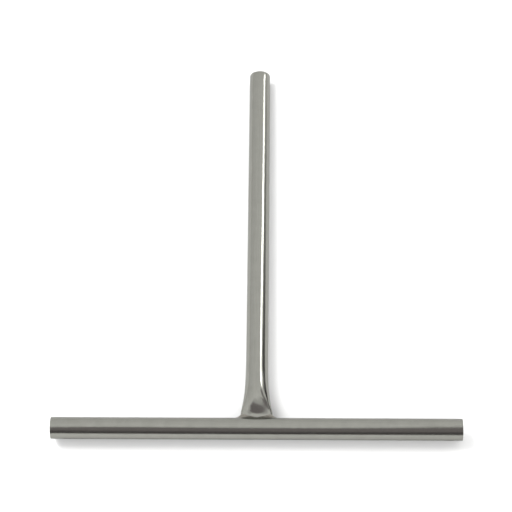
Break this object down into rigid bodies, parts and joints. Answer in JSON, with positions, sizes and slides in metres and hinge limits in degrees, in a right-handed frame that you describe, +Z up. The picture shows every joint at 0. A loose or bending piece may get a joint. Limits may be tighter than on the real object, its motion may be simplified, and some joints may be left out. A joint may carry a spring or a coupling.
{
  "type": "window squeegee",
  "caption": "All-metal T-shaped window squeegee: a round tube handle with a pinched foot, welded to a slotted crossbar tube that holds a rubber blade along its underside.",
  "frame": {"origin": "middle of the rubber blade's wiping edge, on the surface that the tool rests on", "axes": "+X along the crossbar, +Y along the handle to its free end, +Z up; the tool lies on its wiping edge and the handle's free end"},
  "size_m": [0.3, 0.3281, 0.022],
  "materials": {
    "crossbar_steel": "satin drawn stainless tube",
    "handle_steel": "satin drawn stainless tube",
    "weld_steel": "dressed and brushed stainless weld",
    "blade_rubber": "extruded matt rubber"
  },
  "bodies": {
    "frame": {"crossbar_tube": "crossbar_steel", "handle_tube": "handle_steel", "handle_end_disc": "handle_steel", "handle_foot_weld": "weld_steel"},
    "blade": {"wiper_blade": "blade_rubber"}
  },
  "joints": [
    {"name": "blade_slide", "type": "slide", "parent": "frame", "child": "blade", "axis": [1, 0, 0], "range_m": [-0.27, 0.27]}
  ]
}
